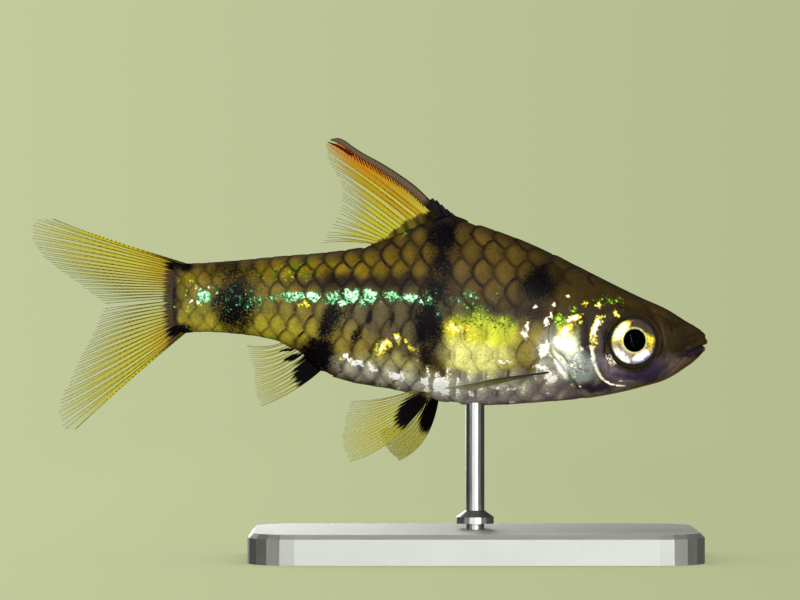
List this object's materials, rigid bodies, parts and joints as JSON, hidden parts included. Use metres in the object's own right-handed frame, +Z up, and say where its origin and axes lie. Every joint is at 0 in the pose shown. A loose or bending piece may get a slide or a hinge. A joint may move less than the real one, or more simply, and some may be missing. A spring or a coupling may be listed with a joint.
{
  "type": "life-size museum model of a pethia canius barb on a stand",
  "caption": "Still life-size model of a small deep-bodied barb, Pethia canius, swimming, with spread fins, held by one rod on a flat base.",
  "frame": {"origin": "middle of the underside of the stand's base, below the rod", "axes": "+X towards the fish's head and along the base, +Y towards the fish's left side, +Z up"},
  "size_m": [0.036, 0.013, 0.0225],
  "materials": {
    "scaled_skin": "wet olive brown and silver scales with black bars",
    "gill_cover_skin": "shiny gold and silver",
    "fin_membrane": "thin clear yellowish membrane with rays",
    "eye": "wet and glossy",
    "stand_plate": "satin",
    "stand_rod": "brushed"
  },
  "bodies": {
    "root": {"head": "scaled_skin", "gill_cover_left": "gill_cover_skin", "gill_cover_right": "gill_cover_skin", "trunk": "scaled_skin", "tail": "scaled_skin", "eye_left": "eye", "eye_right": "eye", "dorsal_fin": "fin_membrane", "anal_fin": "fin_membrane", "caudal_fin_upper": "fin_membrane", "caudal_fin_lower": "fin_membrane", "pelvic_fin_left": "fin_membrane", "pelvic_fin_right": "fin_membrane", "pectoral_fin_left": "fin_membrane", "pectoral_fin_right": "fin_membrane", "stand_base": "stand_plate", "stand_rod": "stand_rod"}
  },
  "joints": []
}
